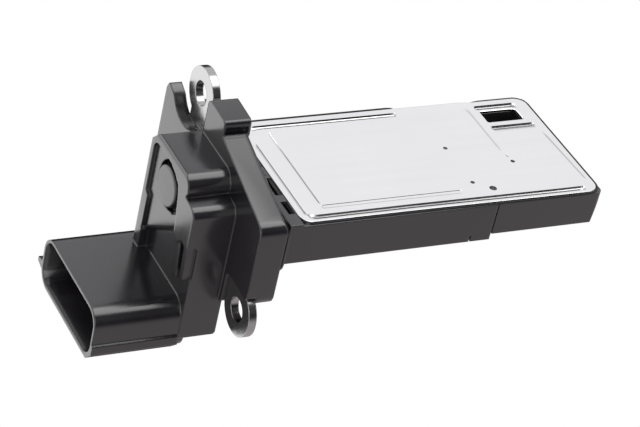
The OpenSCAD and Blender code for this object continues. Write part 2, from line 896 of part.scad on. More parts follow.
// Bright pressed sheet over the blade, with its border groove, bars, window and gauge holes
module metal_cover() {
    groove_z = blade_top_z - press_depth;
    top = blade_top_z + overcut;
    edge_y = blade_w / 2 - cover_inset - border_in;
    far_edge_y = blade_w / 2 - cover_inset - border_far_in;
    edge_x = cover_x0 + border_in;
    line_w = 0.3;
    line_z = blade_top_z - press_depth / 2;
    line_x = cover_x0 + fine_groove_x;
    line_y = -blade_w / 2 + cover_inset + fine_groove_y;
    line_far_in = 3.3;
    bar_w = 1;
    bar_gaps = [2.4, 0.7];
    color(metal_colour)
        difference() {
            translate([0, 0, cover_z0])
                linear_extrude(cover_t)
                    polygon(cover_outline);
            block([edge_x, -edge_y, groove_z], [blade_x1 - 1.8, -edge_y + border_w, top]);
            block([edge_x, -edge_y, groove_z], [edge_x + border_w, far_edge_y, top]);
            block(
                [edge_x, far_edge_y - border_w, groove_z],
                [edge_x + far_border_len, far_edge_y, top]
            );
            block(
                [line_x, line_y, line_z],
                [line_x + line_w, blade_w / 2 - cover_inset - line_far_in, top]
            );
            block([line_x, line_y, line_z], [line_x + fine_groove_len, line_y + line_w, top]);
            for (bar_y = [window_y - window_w / 2 - bar_gaps[0], window_y + window_w / 2 + bar_gaps[1]])
                block(
                    [window_x0 - 0.3, bar_y, groove_z],
                    [window_x0 + window_len + 1.1, bar_y + bar_w, top]
                );
            block(
                [window_x0, window_y - window_w / 2, cover_z0 - overcut],
                [window_x0 + window_len, window_y + window_w / 2, top]
            );
            for (hole = gauge_holes)
                gauge_hole([hole[0], hole[1]], hole[2]);
        }
}

// Hole through the metal cover
module gauge_hole(place, d) {
    translate([cover_x0 + place.x, place.y, cover_z0 - overcut])
        cylinder(h = cover_t + 2 * overcut, d = d);
}

// Sealing ring in the neck's groove: four straight runs and four quarter turns
module seal_ring() {
    half_y = neck_w / 2 - seal_out + seal_d / 2;
    half_z = neck_h / 2 - seal_out + seal_d / 2;
    bend = neck_r - seal_out + seal_d / 2;
    color("#1c1c1e")
        translate([flange_x1 + groove_w / 2, 0, -neck_drop]) {
            for (side = [-1, 1]) {
                translate([0, -half_y + bend, side * half_z])
                    rotate([-90, 0, 0])
                        cylinder(h = 2 * (half_y - bend), d = seal_d);
                translate([0, side * half_y, -half_z + bend])
                    cylinder(h = 2 * (half_z - bend), d = seal_d);
            }
            for (quarter = [[1, 1, 0], [-1, 1, 90], [-1, -1, 180], [1, -1, 270]])
                translate([0, quarter[0] * (half_y - bend), quarter[1] * (half_z - bend)])
                    rotate([90, 0, 90])
                        rotate([0, 0, quarter[2]])
                            rotate_extrude(angle = 90)
                                translate([bend, 0])
                                    circle(d = seal_d);
        }
}

// Round plug pressed into the front of the head
module head_plug() {
    color(plastic_colour)
        translate([plug_face_x, plug_y, plug_z])
            rotate([0, 90, 0])
                cylinder(h = plug_x1 - plug_face_x, r = plug_r);
}

module circuit_lid() {
    color(plastic_colour)
        block(
            [pocket_x0 - lid_margin, -pocket_w / 2 - lid_margin, blade_z0],
            [pocket_x1 + lid_margin, pocket_w / 2 + lid_margin, lid_z1]
        );
}

// Board outline with a tongue that carries the sensing chip into the air passage
module board_outline() {
    translate([board_x0, -board_w / 2])
        square([board_x1 - board_x0, board_w]);
    translate([board_x1 - overcut, tongue_y0])
        square([tongue_x1 - board_x1 + overcut, tongue_w]);
}

module circuit_board() {
    color("#e9e6dc")
        translate([0, 0, board_z0])
            linear_extrude(board_t)
                board_outline();
}

module board_glue() {
    color("#8d8f92")
        translate([0, 0, cover_z0 - glue_t])
            linear_extrude(glue_t)
                board_outline();
}

module cover_sealant() {
    color("#55585c")
        cover_sealant_shape();
}

module lid_sealant() {
    color("#55585c")
        lid_sealant_shape();
}

// Pieces under the board, each grown by a gap when the gel is cut around it
chip_x = board_x0 + 11;
chip_y = 3;
module control_chip_shape(grow = 0) {
    half = chip_side / 2 + grow;
    block([chip_x - half, chip_y - half, board_z0 - chip_t - grow], [chip_x + half, chip_y + half, board_z0]);
}

capacitor_places = [[20, 6], [20, 1], [16.5, -7]];
capacitor_len = 2.2;
capacitor_w = 1.3;
module capacitor_shape(index, grow = 0) {
    place = capacitor_places[index - 1];
    x = board_x0 + place[0];
    block(
        [x - capacitor_len / 2 - grow, place[1] - capacitor_w / 2 - grow, board_z0 - capacitor_h - grow],
        [x + capacitor_len / 2 + grow, place[1] + capacitor_w / 2 + grow, board_z0]
    );
}

module control_chip() {
    color("#2b2b2d")
        control_chip_shape();
}

module capacitor(index) {
    color("#b9a27c")
        capacitor_shape(index);
}

// Silicon chip with the heated film, under the end of the board's tongue
module flow_chip() {
    color("#5a6270")
        block(
            [tongue_x1 - 3.4, tongue_y0 + 0.6, board_z0 - flow_chip_t],
            [tongue_x1 - 0.6, tongue_y0 + tongue_w - 0.6, board_z0]
        );
}

// Ribbon from a terminal's pad to the board, as an arch drawn in x and z
ribbon_t = 0.2;
ribbon_w = 0.5;
module ribbon_shape(index, grow = 0) {
    y = socket_y + (index - (terminal_count + 1) / 2) * terminal_pitch;
    x0 = pocket_x0 + pad_len - 1;
    x1 = board_x0 + 1;
    foot = 0.5;
    dip = terminal_z0 - 1;
    along_y(y - ribbon_w / 2 - grow, y + ribbon_w / 2 + grow)
        polygon([
            [x0 - grow, terminal_z0],
            [x0 - grow, dip + 0.4 - grow],
            [x0 + 0.4, dip - grow],
            [x1 - 0.4, dip - grow],
            [x1 + grow, dip + 0.4 - grow],
            [x1 + grow, board_z0],
            [x1 - foot - grow, board_z0],
            [x1 - ribbon_t - grow, board_z0 - ribbon_t - grow],
            [x1 - ribbon_t - grow, dip + 0.5 + grow],
            [x1 - 0.5 - grow, dip + ribbon_t + grow],
            [x0 + 0.5 + grow, dip + ribbon_t + grow],
            [x0 + ribbon_t + grow, dip + 0.5 + grow],
            [x0 + foot + grow, terminal_z0 - ribbon_t - grow],
            [x0 + foot + grow, terminal_z0]
        ]);
}

module bond_ribbon(index) {
    color("#c9ccd1")
        ribbon_shape(index);
}

// Clear gel that fills the pocket around the pieces under the board
module sealing_gel() {
    top = board_z0 - gel_gap;
    color("#9fb4bd")
        difference() {
            block(
                [board_x0 + 2.2, -pocket_w / 2, lid_z1 + bead_h],
                [pocket_x1, pocket_w / 2, top]
            );
            control_chip_shape(gel_gap);
            for (index = [1:3])
                capacitor_shape(index, gel_gap);
            for (side = [-1, 1])
                thermistor_lead_shape(side, gel_gap);
        }
}

// Glass bead between the ends of its two leads
module thermistor_bead() {
    color("#7a5a3c")
        difference() {
            translate([thermistor_x, thermistor_y, thermistor_z - 0.5])
                sphere(d = bead_d);
            for (side = [-1, 1])
                thermistor_lead_shape(side, insert_gap);
        }
}

module thermistor_lead_shape(side, grow = 0) {
    translate([lead_x0 - grow, lead_y(side), thermistor_z])
        rotate([0, 90, 0])
            cylinder(h = thermistor_x - lead_x0 + 2 * grow, r = lead_d / 2 + grow);
}

module thermistor_lead(side) {
    color("#c9ccd1")
        thermistor_lead_shape(side);
}

module terminal(index) {
    color("#c8b27a")
        terminal_shape(index);
}

housing();
mounting_plate();
tip_housing();
metal_cover();
seal_ring();
head_plug();
circuit_lid();
circuit_board();
board_glue();
cover_sealant();
lid_sealant();
sealing_gel();
control_chip();
flow_chip();
capacitor(1);  // capacitor_1
capacitor(2);  // capacitor_2
capacitor(3);  // capacitor_3
thermistor_bead();
thermistor_lead(-1);  // thermistor_lead_1
thermistor_lead(1);  // thermistor_lead_2
terminal(1);  // terminal_1
terminal(2);  // terminal_2
terminal(3);  // terminal_3
terminal(4);  // terminal_4
terminal(5);  // terminal_5
bond_ribbon(1);  // bond_ribbon_1
bond_ribbon(2);  // bond_ribbon_2
bond_ribbon(3);  // bond_ribbon_3
bond_ribbon(4);  // bond_ribbon_4
bond_ribbon(5);  // bond_ribbon_5
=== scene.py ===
import math

import bpy
import numpy as np
from mathutils import Matrix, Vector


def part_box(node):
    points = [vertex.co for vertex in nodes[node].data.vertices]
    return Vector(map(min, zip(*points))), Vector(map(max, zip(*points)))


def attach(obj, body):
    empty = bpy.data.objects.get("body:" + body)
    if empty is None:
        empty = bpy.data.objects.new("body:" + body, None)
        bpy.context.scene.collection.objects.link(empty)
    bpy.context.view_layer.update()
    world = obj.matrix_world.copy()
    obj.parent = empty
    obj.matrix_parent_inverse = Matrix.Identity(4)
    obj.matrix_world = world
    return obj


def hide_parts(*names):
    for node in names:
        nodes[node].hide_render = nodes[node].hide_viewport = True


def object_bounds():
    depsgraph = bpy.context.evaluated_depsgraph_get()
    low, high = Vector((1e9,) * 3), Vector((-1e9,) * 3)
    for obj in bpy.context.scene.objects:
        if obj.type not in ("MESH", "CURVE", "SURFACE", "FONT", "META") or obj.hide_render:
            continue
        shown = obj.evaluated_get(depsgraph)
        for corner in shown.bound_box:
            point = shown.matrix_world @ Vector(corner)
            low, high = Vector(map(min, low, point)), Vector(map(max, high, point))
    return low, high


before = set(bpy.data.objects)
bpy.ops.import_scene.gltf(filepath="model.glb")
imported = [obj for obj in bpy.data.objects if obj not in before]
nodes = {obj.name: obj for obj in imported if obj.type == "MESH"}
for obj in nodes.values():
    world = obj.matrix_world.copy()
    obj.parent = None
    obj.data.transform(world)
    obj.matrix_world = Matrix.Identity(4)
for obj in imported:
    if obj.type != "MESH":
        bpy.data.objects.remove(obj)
cadLow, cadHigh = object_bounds()
mm = 0.001
print("stage: frame loaded")


def addObject(name, data):
    ob = bpy.data.objects.new(name, data)
    bpy.context.scene.collection.objects.link(ob)
    return ob


def addNode(tree, kind, inputs=None, **values):
    n = tree.nodes.new(kind)
    for key, value in values.items():
        setattr(n, key, value)
    for key, value in (inputs or {}).items():
        n.inputs[key].default_value = value
    return n


def connect(tree, wires):
    for a, b in wires:
        tree.links.new(a, b)


# camera: millimetres and directions in the part's frame
view = {
    "eye": (-187.40, -318.08, 251.53),
    "right": (0.88681, -0.41937, 0.19416),
    "down": (-0.10027, -0.58473, -0.80500),
    "forward": (0.45113, 0.69442, -0.56060),
    "lens": 146.27,
    "sensor": 36.0,
    "clip": (0.01, 20.0),  # metres
}


def makeCamera(v):
    cam = bpy.data.cameras.new("camera")
    cam.sensor_width = v["sensor"]
    cam.lens = v["lens"]
    cam.clip_start, cam.clip_end = v["clip"]
    right, down, forward, eye = (np.array(v[k]) for k in ("right", "down", "forward", "eye"))
    place = np.eye(4)
    place[:3, :3] = np.stack([right, -down, -forward], axis=-1)
    place[:3, 3] = eye * mm
    ob = addObject("camera", cam)
    ob.matrix_world = Matrix(place.tolist())
    bpy.context.scene.camera = ob


# light tent: each soft box has the direction it lies in, the cosines where it begins and
# where it is full, its brightness and its tint
studio = {
    "boxes": {
        "ceiling": ((0.45, -0.12, 0.885), 0.90, 0.97, 3.2, (1.0, 1.0, 1.0)),
        "backWall": ((0.35, 0.60, 0.72), 0.74, 0.93, 1.0, (1.0, 1.0, 1.02)),
        "backTable": ((-0.55, 0.72, -0.42), 0.55, 0.95, 1.7, (1.0, 1.0, 1.0)),
        "leftStrip": ((-0.58, 0.68, 0.45), 0.955, 0.985, 2.6, (1.0, 1.0, 1.0)),
        "frontTable": ((0.2, -0.4, -0.9), 0.42, 0.80, 0.58, (1.05, 0.98, 0.99)),
        "rightFill": ((0.98, -0.1, 0.15), 0.6, 0.95, 0.5, (1.0, 1.0, 1.0)),
        "leftFill": ((-0.9, -0.35, 0.25), 0.2, 0.9, 0.22, (1.0, 1.0, 1.0)),
        # these light the sides away from the camera
        "frontWall": ((-0.50, -0.75, 0.42), 0.78, 0.96, 0.85, (1.0, 1.0, 1.0)),
        "frontHorizon": ((-0.25, -0.96, -0.05), 0.80, 0.97, 0.45, (1.0, 1.0, 1.0)),
        "leftWall": ((-0.97, -0.10, -0.15), 0.80, 0.97, 0.60, (1.0, 1.0, 1.0)),
        "topFill": ((-0.12, 0.10, 1.0), 0.86, 0.97, 0.85, (1.0, 1.0, 1.0)),
        "rightWall": ((0.90, -0.30, 0.48), 0.86, 0.97, 0.80, (1.0, 1.0, 1.0)),
        "farLeftWall": ((-0.75, 0.20, 0.50), 0.86, 0.97, 0.80, (1.0, 1.0, 1.0)),
        "nearTopWall": ((-0.20, -0.83, 0.52), 0.80, 0.96, 0.75, (1.0, 1.0, 1.0)),
    },
    "ambient": 0.015,
    "backdrop": 1.0,
    "white": (1.0, 1.0, 1.0, 1.0),
    "floorDrop": 0.05,  # metres under the lowest point of the part
    "floorSize": 6.0,
}


def makeStudio(s):
    scene = bpy.context.scene
    scene.view_settings.view_transform = "Standard"
    scene.world = bpy.data.worlds.new("studio")
    scene.world.use_nodes = True
    tree = scene.world.node_tree
    tree.nodes.clear()
    sky = addNode(tree, "ShaderNodeTexCoord")
    total = addNode(tree, "ShaderNodeBackground", {"Strength": s["ambient"]}).outputs["Background"]
    for towards, begin, full, strength, tint in s["boxes"].values():
        towards = np.array(towards) / np.linalg.norm(towards)
        dot = addNode(tree, "ShaderNodeVectorMath", {1: towards}, operation="DOT_PRODUCT")
        reach = {"From Min": begin, "From Max": full, "To Max": strength}
        fade = addNode(tree, "ShaderNodeMapRange", reach, interpolation_type="SMOOTHSTEP")
        box = addNode(tree, "ShaderNodeBackground", {"Color": (*tint, 1.0)})
        both = addNode(tree, "ShaderNodeAddShader")
        connect(tree, [
            (sky.outputs["Generated"], dot.inputs[0]),
            (dot.outputs["Value"], fade.inputs["Value"]),
            (fade.outputs["Result"], box.inputs["Strength"]),
            (total, both.inputs[0]),
            (box.outputs["Background"], both.inputs[1]),
        ])
        total = both.outputs["Shader"]
    # the lens sees a plain white backdrop instead of the soft boxes
    paper = addNode(tree, "ShaderNodeBackground", {"Color": s["white"], "Strength": s["backdrop"]})
    ray = addNode(tree, "ShaderNodeLightPath")
    pick = addNode(tree, "ShaderNodeMixShader")
    out = addNode(tree, "ShaderNodeOutputWorld")
    connect(tree, [
        (ray.outputs["Is Camera Ray"], pick.inputs["Fac"]),
        (total, pick.inputs[1]),
        (paper.outputs["Background"], pick.inputs[2]),
        (pick.outputs["Shader"], out.inputs["Surface"]),
    ])


# floor: a square of white paper that gives the part neither light nor shadow
def makeFloor(s):
    z = cadLow.z - s["floorDrop"]
    size = s["floorSize"]
    mesh = bpy.data.meshes.new("floor")
    corners = [(-size, -size, z), (size, -size, z), (size, size, z), (-size, size, z)]
    mesh.from_pydata(corners, [], [(0, 1, 2, 3)])
    mat = bpy.data.materials.new("floorPaper")
    mat.use_nodes = True
    bsdf = mat.node_tree.nodes["Principled BSDF"]
    bsdf.inputs["Base Color"].default_value = (0.0, 0.0, 0.0, 1.0)
    bsdf.inputs["Specular IOR Level"].default_value = 0.0
    bsdf.inputs["Emission Color"].default_value = s["white"]
    bsdf.inputs["Emission Strength"].default_value = s["backdrop"]
    mesh.materials.append(mat)
    floor = addObject("floor", mesh)
    floor.visible_diffuse = False
    floor.visible_glossy = False
    floor.visible_shadow = False


makeCamera(view)
makeStudio(studio)
makeFloor(studio)
print("stage: camera and studio ready")

# skins: scales are per metre, the stretch draws the streaks out along x
mouldSettings = {
    "fineDetail": 3.0,
    "cloudScale": 90.0,
    "cloudDetail": 4.0,
    "noiseRange": (0.3, 0.7),
    "shade": (0.88, 1.12),
}
rolledSettings = {
    "stretch": (0.04, 1.0, 1.0),
    "streakDetail": 4.0,
    "cloudScale": 60.0,
    "noiseRange": (0.3, 0.7),
    "shade": (0.94, 1.04),
}


# each skin takes a place, a colour, the scale of its grain and a range of gloss
def newSkin(name, grainName):
    g = bpy.data.node_groups.new(name, "ShaderNodeTree")
    floats = [grainName, "Gloss Low", "Gloss High"]
    sockets = [("Vector", "INPUT", "Vector"), ("Colour", "INPUT", "Color")]
    sockets += [(label, "INPUT", "Float") for label in floats]
    sockets += [("Colour", "OUTPUT", "Color")]
    sockets += [(label, "OUTPUT", "Float") for label in ("Roughness", "Height")]
    for label, side, kind in sockets:
        g.interface.new_socket(label, in_out=side, socket_type="NodeSocket" + kind)
    return g, g.nodes.new("NodeGroupInput").outputs, g.nodes.new("NodeGroupOutput").inputs


def addRange(tree, begin, finish, toBegin=0.0, toFinish=1.0):
    ends = {"From Min": begin, "From Max": finish, "To Min": toBegin, "To Max": toFinish}
    return addNode(tree, "ShaderNodeMapRange", ends)


# moulded skin: fine grain for the bump, broad clouds for gloss and tint
def makeMouldSkin(s):
    g, given, result = newSkin("mouldSkin", "Grain")
    fine = addNode(g, "ShaderNodeTexNoise", {"Detail": s["fineDetail"]})
    clouds = {"Scale": s["cloudScale"], "Detail": s["cloudDetail"]}
    broad = addNode(g, "ShaderNodeTexNoise", clouds)
    gloss = addRange(g, *s["noiseRange"])
    shade = addRange(g, *s["noiseRange"], *s["shade"])
    tint = addNode(g, "ShaderNodeHueSaturation")
    connect(g, [
        (given["Vector"], fine.inputs["Vector"]),
        (given["Vector"], broad.inputs["Vector"]),
        (given["Grain"], fine.inputs["Scale"]),
        (broad.outputs["Fac"], gloss.inputs["Value"]),
        (given["Gloss Low"], gloss.inputs["To Min"]),
        (given["Gloss High"], gloss.inputs["To Max"]),
        (broad.outputs["Fac"], shade.inputs["Value"]),
        (shade.outputs["Result"], tint.inputs["Value"]),
        (given["Colour"], tint.inputs["Color"]),
        (tint.outputs["Color"], result["Colour"]),
        (gloss.outputs["Result"], result["Roughness"]),
        (fine.outputs["Fac"], result["Height"]),
    ])
    return g


# rolled sheet: streaks along one direction plus faint handling marks
def makeRolledSkin(s):
    g, given, result = newSkin("rolledSkin", "Streak")
    stretch = addNode(g, "ShaderNodeMapping", {"Scale": s["stretch"]}, vector_type="POINT")
    streak = addNode(g, "ShaderNodeTexNoise", {"Detail": s["streakDetail"]})
    clouds = addNode(g, "ShaderNodeTexNoise", {"Scale": s["cloudScale"]})
    both = addNode(g, "ShaderNodeMath", operation="ADD")
    mean = addNode(g, "ShaderNodeMath", {1: 0.5}, operation="MULTIPLY")
    gloss = addRange(g, *s["noiseRange"])
    shade = addRange(g, 0.0, 1.0, *s["shade"])
    tint = addNode(g, "ShaderNodeHueSaturation")
    connect(g, [
        (given["Vector"], stretch.inputs["Vector"]),
        (stretch.outputs["Vector"], streak.inputs["Vector"]),
        (given["Streak"], streak.inputs["Scale"]),
        (given["Vector"], clouds.inputs["Vector"]),
        (streak.outputs["Fac"], both.inputs[0]),
        (clouds.outputs["Fac"], both.inputs[1]),
        (both.outputs["Value"], mean.inputs[0]),
        (mean.outputs["Value"], gloss.inputs["Value"]),
        (given["Gloss Low"], gloss.inputs["To Min"]),
        (given["Gloss High"], gloss.inputs["To Max"]),
        (mean.outputs["Value"], shade.inputs["Value"]),
        (shade.outputs["Result"], tint.inputs["Value"]),
        (given["Colour"], tint.inputs["Color"]),
        (tint.outputs["Color"], result["Colour"]),
        (gloss.outputs["Result"], result["Roughness"]),
        (streak.outputs["Fac"], result["Height"]),
    ])
    return g


skins = {"mould": makeMouldSkin(mouldSettings), "rolled": makeRolledSkin(rolledSettings)}

# finish: skin, colour, scale of the grain, roughness from and to, strength of the bump, and
# what else it has; edge is how far its edges look rounded, in millimetres
finishSettings = {
    "blackMoulding": (
        "mould", (0.011, 0.0098, 0.0118), 3500.0, (0.17, 0.23), 0.08,
        {"specular": 0.9, "edge": 0.45},
    ),
    "tipMoulding": (
        "mould", (0.013, 0.012, 0.013), 3500.0, (0.27, 0.34), 0.10,
        {"specular": 0.9, "edge": 0.30},
    ),
    "plugMoulding": (
        "mould", (0.013, 0.012, 0.0132), 3000.0, (0.27, 0.34), 0.12,
        {"specular": 0.9, "edge": 0.20},
    ),
    "coverSheet": ("rolled", (0.80, 0.795, 0.80), 900.0, (0.12, 0.17), 0.02, {"metallic": 1.0}),
    "earSheet": (
        "rolled", (0.40, 0.40, 0.405), 700.0, (0.14, 0.24), 0.12, {"metallic": 1.0, "edge": 0.2}
    ),
    "sealRubber": ("mould", (0.012, 0.012, 0.013), 5000.0, (0.35, 0.5), 0.2, {}),
    "boardCeramic": ("mould", (0.78, 0.76, 0.70), 2500.0, (0.5, 0.65), 0.2, {"edge": 0.1}),
    # black of the tubes along the sheet's edges; along the near edge and round the end it is
    # painted shadow in the gap beside the sheet
    "blackBead": ("mould", (0.010, 0.010, 0.011), 3000.0, (0.35, 0.5), 0.15, {"specular": 0.3}),
    "sealant": ("mould", (0.14, 0.15, 0.16), 1800.0, (0.35, 0.5), 0.5, {}),
    "gel": ("mould", (0.42, 0.50, 0.53), 400.0, (0.08, 0.2), 0.2, {}),
    "chipResin": ("mould", (0.02, 0.02, 0.021), 4500.0, (0.5, 0.65), 0.5, {"edge": 0.1}),
    "silicon": ("mould", (0.10, 0.12, 0.17), 900.0, (0.1, 0.18), 0.05, {"edge": 0.05}),
    "capacitorBody": ("mould", (0.46, 0.36, 0.24), 3000.0, (0.4, 0.55), 0.3, {"edge": 0.1}),
    "beadGlass": ("mould", (0.30, 0.17, 0.09), 1500.0, (0.08, 0.16), 0.1, {"coat": 0.5}),
    "tinPlate": (
        "rolled", (0.72, 0.69, 0.62), 900.0, (0.25, 0.4), 0.2, {"metallic": 1.0, "edge": 0.08}
    ),
    "drawnWire": ("rolled", (0.75, 0.75, 0.76), 1200.0, (0.2, 0.35), 0.2, {"metallic": 1.0}),
}
bumpHeight = 0.05  # millimetres
edgeSamples = 6


def makeFinish(name, skin, colour, scale, gloss, bump, extra):
    mat = bpy.data.materials.new(name)
    mat.use_nodes = True
    tree = mat.node_tree
    bsdf = tree.nodes["Principled BSDF"]
    bsdf.inputs["Metallic"].default_value = extra.get("metallic", 0.0)
    bsdf.inputs["Specular IOR Level"].default_value = extra.get("specular", 0.5)
    bsdf.inputs["Coat Weight"].default_value = extra.get("coat", 0.0)
    coords = addNode(tree, "ShaderNodeTexCoord")
    group = addNode(tree, "ShaderNodeGroup", node_tree=skins[skin])
    group.inputs["Colour"].default_value = (*colour, 1.0)
    group.inputs[2].default_value = scale
    group.inputs["Gloss Low"].default_value, group.inputs["Gloss High"].default_value = gloss
    relief = addNode(tree, "ShaderNodeBump", {"Strength": bump, "Distance": bumpHeight * mm})
    if "edge" in extra:
        radius = {"Radius": extra["edge"] * mm}
        soft = addNode(tree, "ShaderNodeBevel", radius, samples=edgeSamples)
        tree.links.new(soft.outputs["Normal"], relief.inputs["Normal"])
    connect(tree, [
        (coords.outputs["Object"], group.inputs["Vector"]),
        (group.outputs["Colour"], bsdf.inputs["Base Color"]),
        (group.outputs["Roughness"], bsdf.inputs["Roughness"]),
        (group.outputs["Height"], relief.inputs["Height"]),
        (relief.outputs["Normal"], bsdf.inputs["Normal"]),
    ])
    return mat


finishes = {name: makeFinish(name, *row) for name, row in finishSettings.items()}

# a node takes its own row, or that of its name without the number
finishOf = {
    "housing": "blackMoulding",
    "mounting_plate": "earSheet",
    "tip_housing": "tipMoulding",
    "metal_cover": "coverSheet",
    "seal_ring": "sealRubber",
    "head_plug": "plugMoulding",
    "circuit_lid": "plugMoulding",
    "circuit_board": "boardCeramic",
    "board_glue": "sealant",
    "cover_sealant": "sealant",
    "lid_sealant": "sealant",
    "sealing_gel": "gel",
    "control_chip": "chipResin",
    "flow_chip": "silicon",
    "capacitor": "capacitorBody",
    "thermistor_bead": "beadGlass",
    "thermistor_lead": "drawnWire",
    "terminal": "tinPlate",
    "bond_ribbon": "drawnWire",
}

for name, ob in nodes.items():
    key = name if name in finishOf else name.rsplit("_", 1)[0]
    ob.data.materials.clear()
    ob.data.materials.append(finishes[finishOf[key]])
print("stage: materials made")


# puts points in millimetres and faces into a mesh; edges that turn more than the angle stay
# sharp, and the piece stands for the node where one is given
def makePiece(name, finish, points, faces, angle=None, node=None):
    mesh = bpy.data.meshes.new(name)
    mesh.from_pydata((points * mm).tolist(), [], faces)
    mesh.materials.append(finishes[finish])
    mesh.shade_smooth()
    if angle:
        mesh.set_sharp_from_angle(angle=math.radians(angle))
    ob = addObject(name, mesh)
    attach(ob, "root")
    if node:
        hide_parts(node)


# box of a node in millimetres: lowest and highest corner
def boxOf(node):
    return (np.array(corner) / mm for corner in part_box(node))


# quads between neighbouring rings of points: point j of ring i has the number i * sides + j,
# and each quad joins points j and j + 1 of rings i and i + 1
def ringQuads(rings, sides, closed=False):
    i, j = np.meshgrid(np.arange(rings if closed else rings - 1), np.arange(sides), indexing="ij")
    nextI, nextJ = (i + 1) % rings, (j + 1) % sides
    around = [i * sides + j, nextI * sides + j, nextI * sides + nextJ, i * sides + nextJ]
    return np.stack(around, axis=-1).reshape(-1, 4)


# mouldings and plate: the node's own surface, with the angle under which it is shaded smooth
mouldings = {"angle": 32, "weld": 0.003}


# points that fall in the same cell of a grid a few microns wide become one, and triangles
# that lose a side by it are dropped
def smoothCopy(node, name, c):
    source = nodes[node].data
    points = np.empty(len(source.vertices) * 3)
    source.vertices.foreach_get("co", points)
    points = points.reshape(-1, 3)
    source.calc_loop_triangles()
    corners = np.empty(len(source.loop_triangles) * 3, dtype=np.int64)
    source.loop_triangles.foreach_get("vertices", corners)
    cells = np.round(points / (c["weld"] * mm)).astype(np.int64)
    first, back = np.unique(cells, axis=0, return_index=True, return_inverse=True)[1:]
    faces = back.reshape(-1)[corners].reshape(-1, 3)
    real = np.all(faces != np.roll(faces, 1, axis=1), axis=1)
    points = points[first] / mm
    makePiece(name, finishOf[node], points, faces[real].tolist(), c["angle"], node)


smoothCopy("housing", "moulding", mouldings)
smoothCopy("mounting_plate", "earPlate", mouldings)
smoothCopy("tip_housing", "tipMoulding", mouldings)
print("stage: mouldings and plate made")

# aluminium cover: millimetres from the sheet's root edge (x) and near edge (y)
cover = {
    "sheet": 0.5,
    "edgeRoll": 0.10,
    "undercut": 0.35,  # how much smaller the sheet is underneath
    # corners: radius, how far in the turn dies out, and how far along the sides it reaches
    "sheetCorner": (2.4, 5.0, 3.4),
    "windowCorner": (0.45, 1.2, 1.4),
    # an edge stays in by this much, from there, to there, and dies out this far across
    "nearIn": (0.35, 22.0, 52.0, 8.0),
    "farIn": (0.30, 45.0, 48.5, 2.0),
    # sections: places across the width, and how deep they are as a share of the depth
    "sections": {
        "pressed": ((0.0, 0.55, 0.87, 1.0), (0.0, 0.72, 1.0, 0.0)),
        "bar": ((0.0, 0.45, 0.84, 1.0), (0.0, 0.62, 1.0, 0.0)),
        "soft": ((0.0, 0.25, 0.93, 1.0), (0.0, 0.80, 1.0, 0.0)),
    },
    # grooves: direction, section, start across, width, depth, from, to, run-out, and the
    # grid's steps across and in the run-out
    "grooves": {
        "nearBorder": ("x", "pressed", 0.62, 1.18, 0.34, 1.2, 57.1, 0.3, 0.25, 0.15),
        "farBorder": ("x", "pressed", 27.58, 1.16, 0.30, 2.2, 31.8, 0.3, 0.25, 0.15),
        "windowFar": ("x", "bar", 27.20, 1.30, 0.37, 48.0, 57.1, 0.3, 0.25, 0.15),
        "windowNear": ("x", "bar", 20.72, 1.22, 0.39, 48.2, 57.4, 0.3, 0.25, 0.15),
        "fineLine": ("x", "soft", 3.34, 1.06, 0.080, 5.1, 33.0, 0.3, 0.25, 0.15),
        "rootBorder": ("y", "pressed", 1.00, 0.50, 0.11, 1.3, 24.0, 1.0, 0.25, 0.25),
        "fineRoot": ("y", "pressed", 4.99, 0.33, 0.078, 4.4, 26.9, 1.0, 0.25, 0.25),
        "mark": ("x", "pressed", 12.6, 0.55, 0.22, 46.55, 47.1, 0.08, 0.15, 0.1),
    },
    "window": (48.5, 56.1, 23.2, 26.65),
    "windowRoll": 0.15,
    "ridge": {
        "across": (43.6, 45.8, 46.8),  # foot, crest, foot
        "rise": 0.13,
        "begins": (12.9, 14.4),
        "ends": (26.5, 28.5),
    },
    # soft step by the sheet's end: two points of its line, its height, the half width of the
    # step, where the sheet starts to climb, where it is level again, and where it fades
    "endStep": {
        "line": (58.1, 5.5, 57.6, 19.0),
        "height": 0.12,
        "half": 0.40,
        "climb": -4.0,
        "level": (0.6, 1.2),
        "nearFade": (1.9, 4.0),
        "farFade": (17.0, 20.0),
    },
    "gaugeHoles": ((36.1, 16.8, 0.425), (36.1, 6.2, 0.425), (47.0, 11.0, 0.425), (39.1, 3.9, 0.7)),
    "holeRound": (1.2, 2.2),  # square rings are round up to here and square from there, in radii
    "dimple": (25.1, 17.1, 1.0, 0.02),  # middle, size, depth
    # grid: coarse step, then bands from, to and their step; negative places count from the end
    "xGrid": (1.2, (0.0, 0.12, 0.04), (0.12, 0.72, 0.3), (-0.12, 0.0, 0.04), (-3.4, -0.12, 0.22)),
    "yGrid": (1.0, (0.0, 0.12, 0.04), (0.12, 0.72, 0.3), (-0.12, 0.0, 0.04)),
    "windowBands": (
        (-0.9, 0.6, 0.1), (-0.3, 1.6, 0.1),  # along x, by its root side and its end side
        (-0.3, 0.2, 0.08), (-0.2, 0.3, 0.08),  # along y, by its near side and its far side
    ),
    "ridgeBand": (44.6, 48.0, 0.2),
    "angle": 38,
}


# smooth step: 3 t squared less 2 t cubed, where t is the place between two ends
def smooth(begin, end, v):
    t = np.clip((v - begin) / (end - begin), 0.0, 1.0)
    return t * t * (3.0 - 2.0 * t)


# depth of a groove: its section is a row of straight pieces, a gentle way down, a tilted
# floor and a steep way up, scaled to the width and the depth
def pressed(section, across, start, width, depth):
    places, shares = section
    return depth * np.interp((across - start) / width, places, shares, left=0.0, right=0.0)


# one between two ends, with a short run-out at each
def between(v, begin, end, run):
    return np.clip((v - begin) / run, 0.0, 1.0) * np.clip((end - v) / run, 0.0, 1.0)


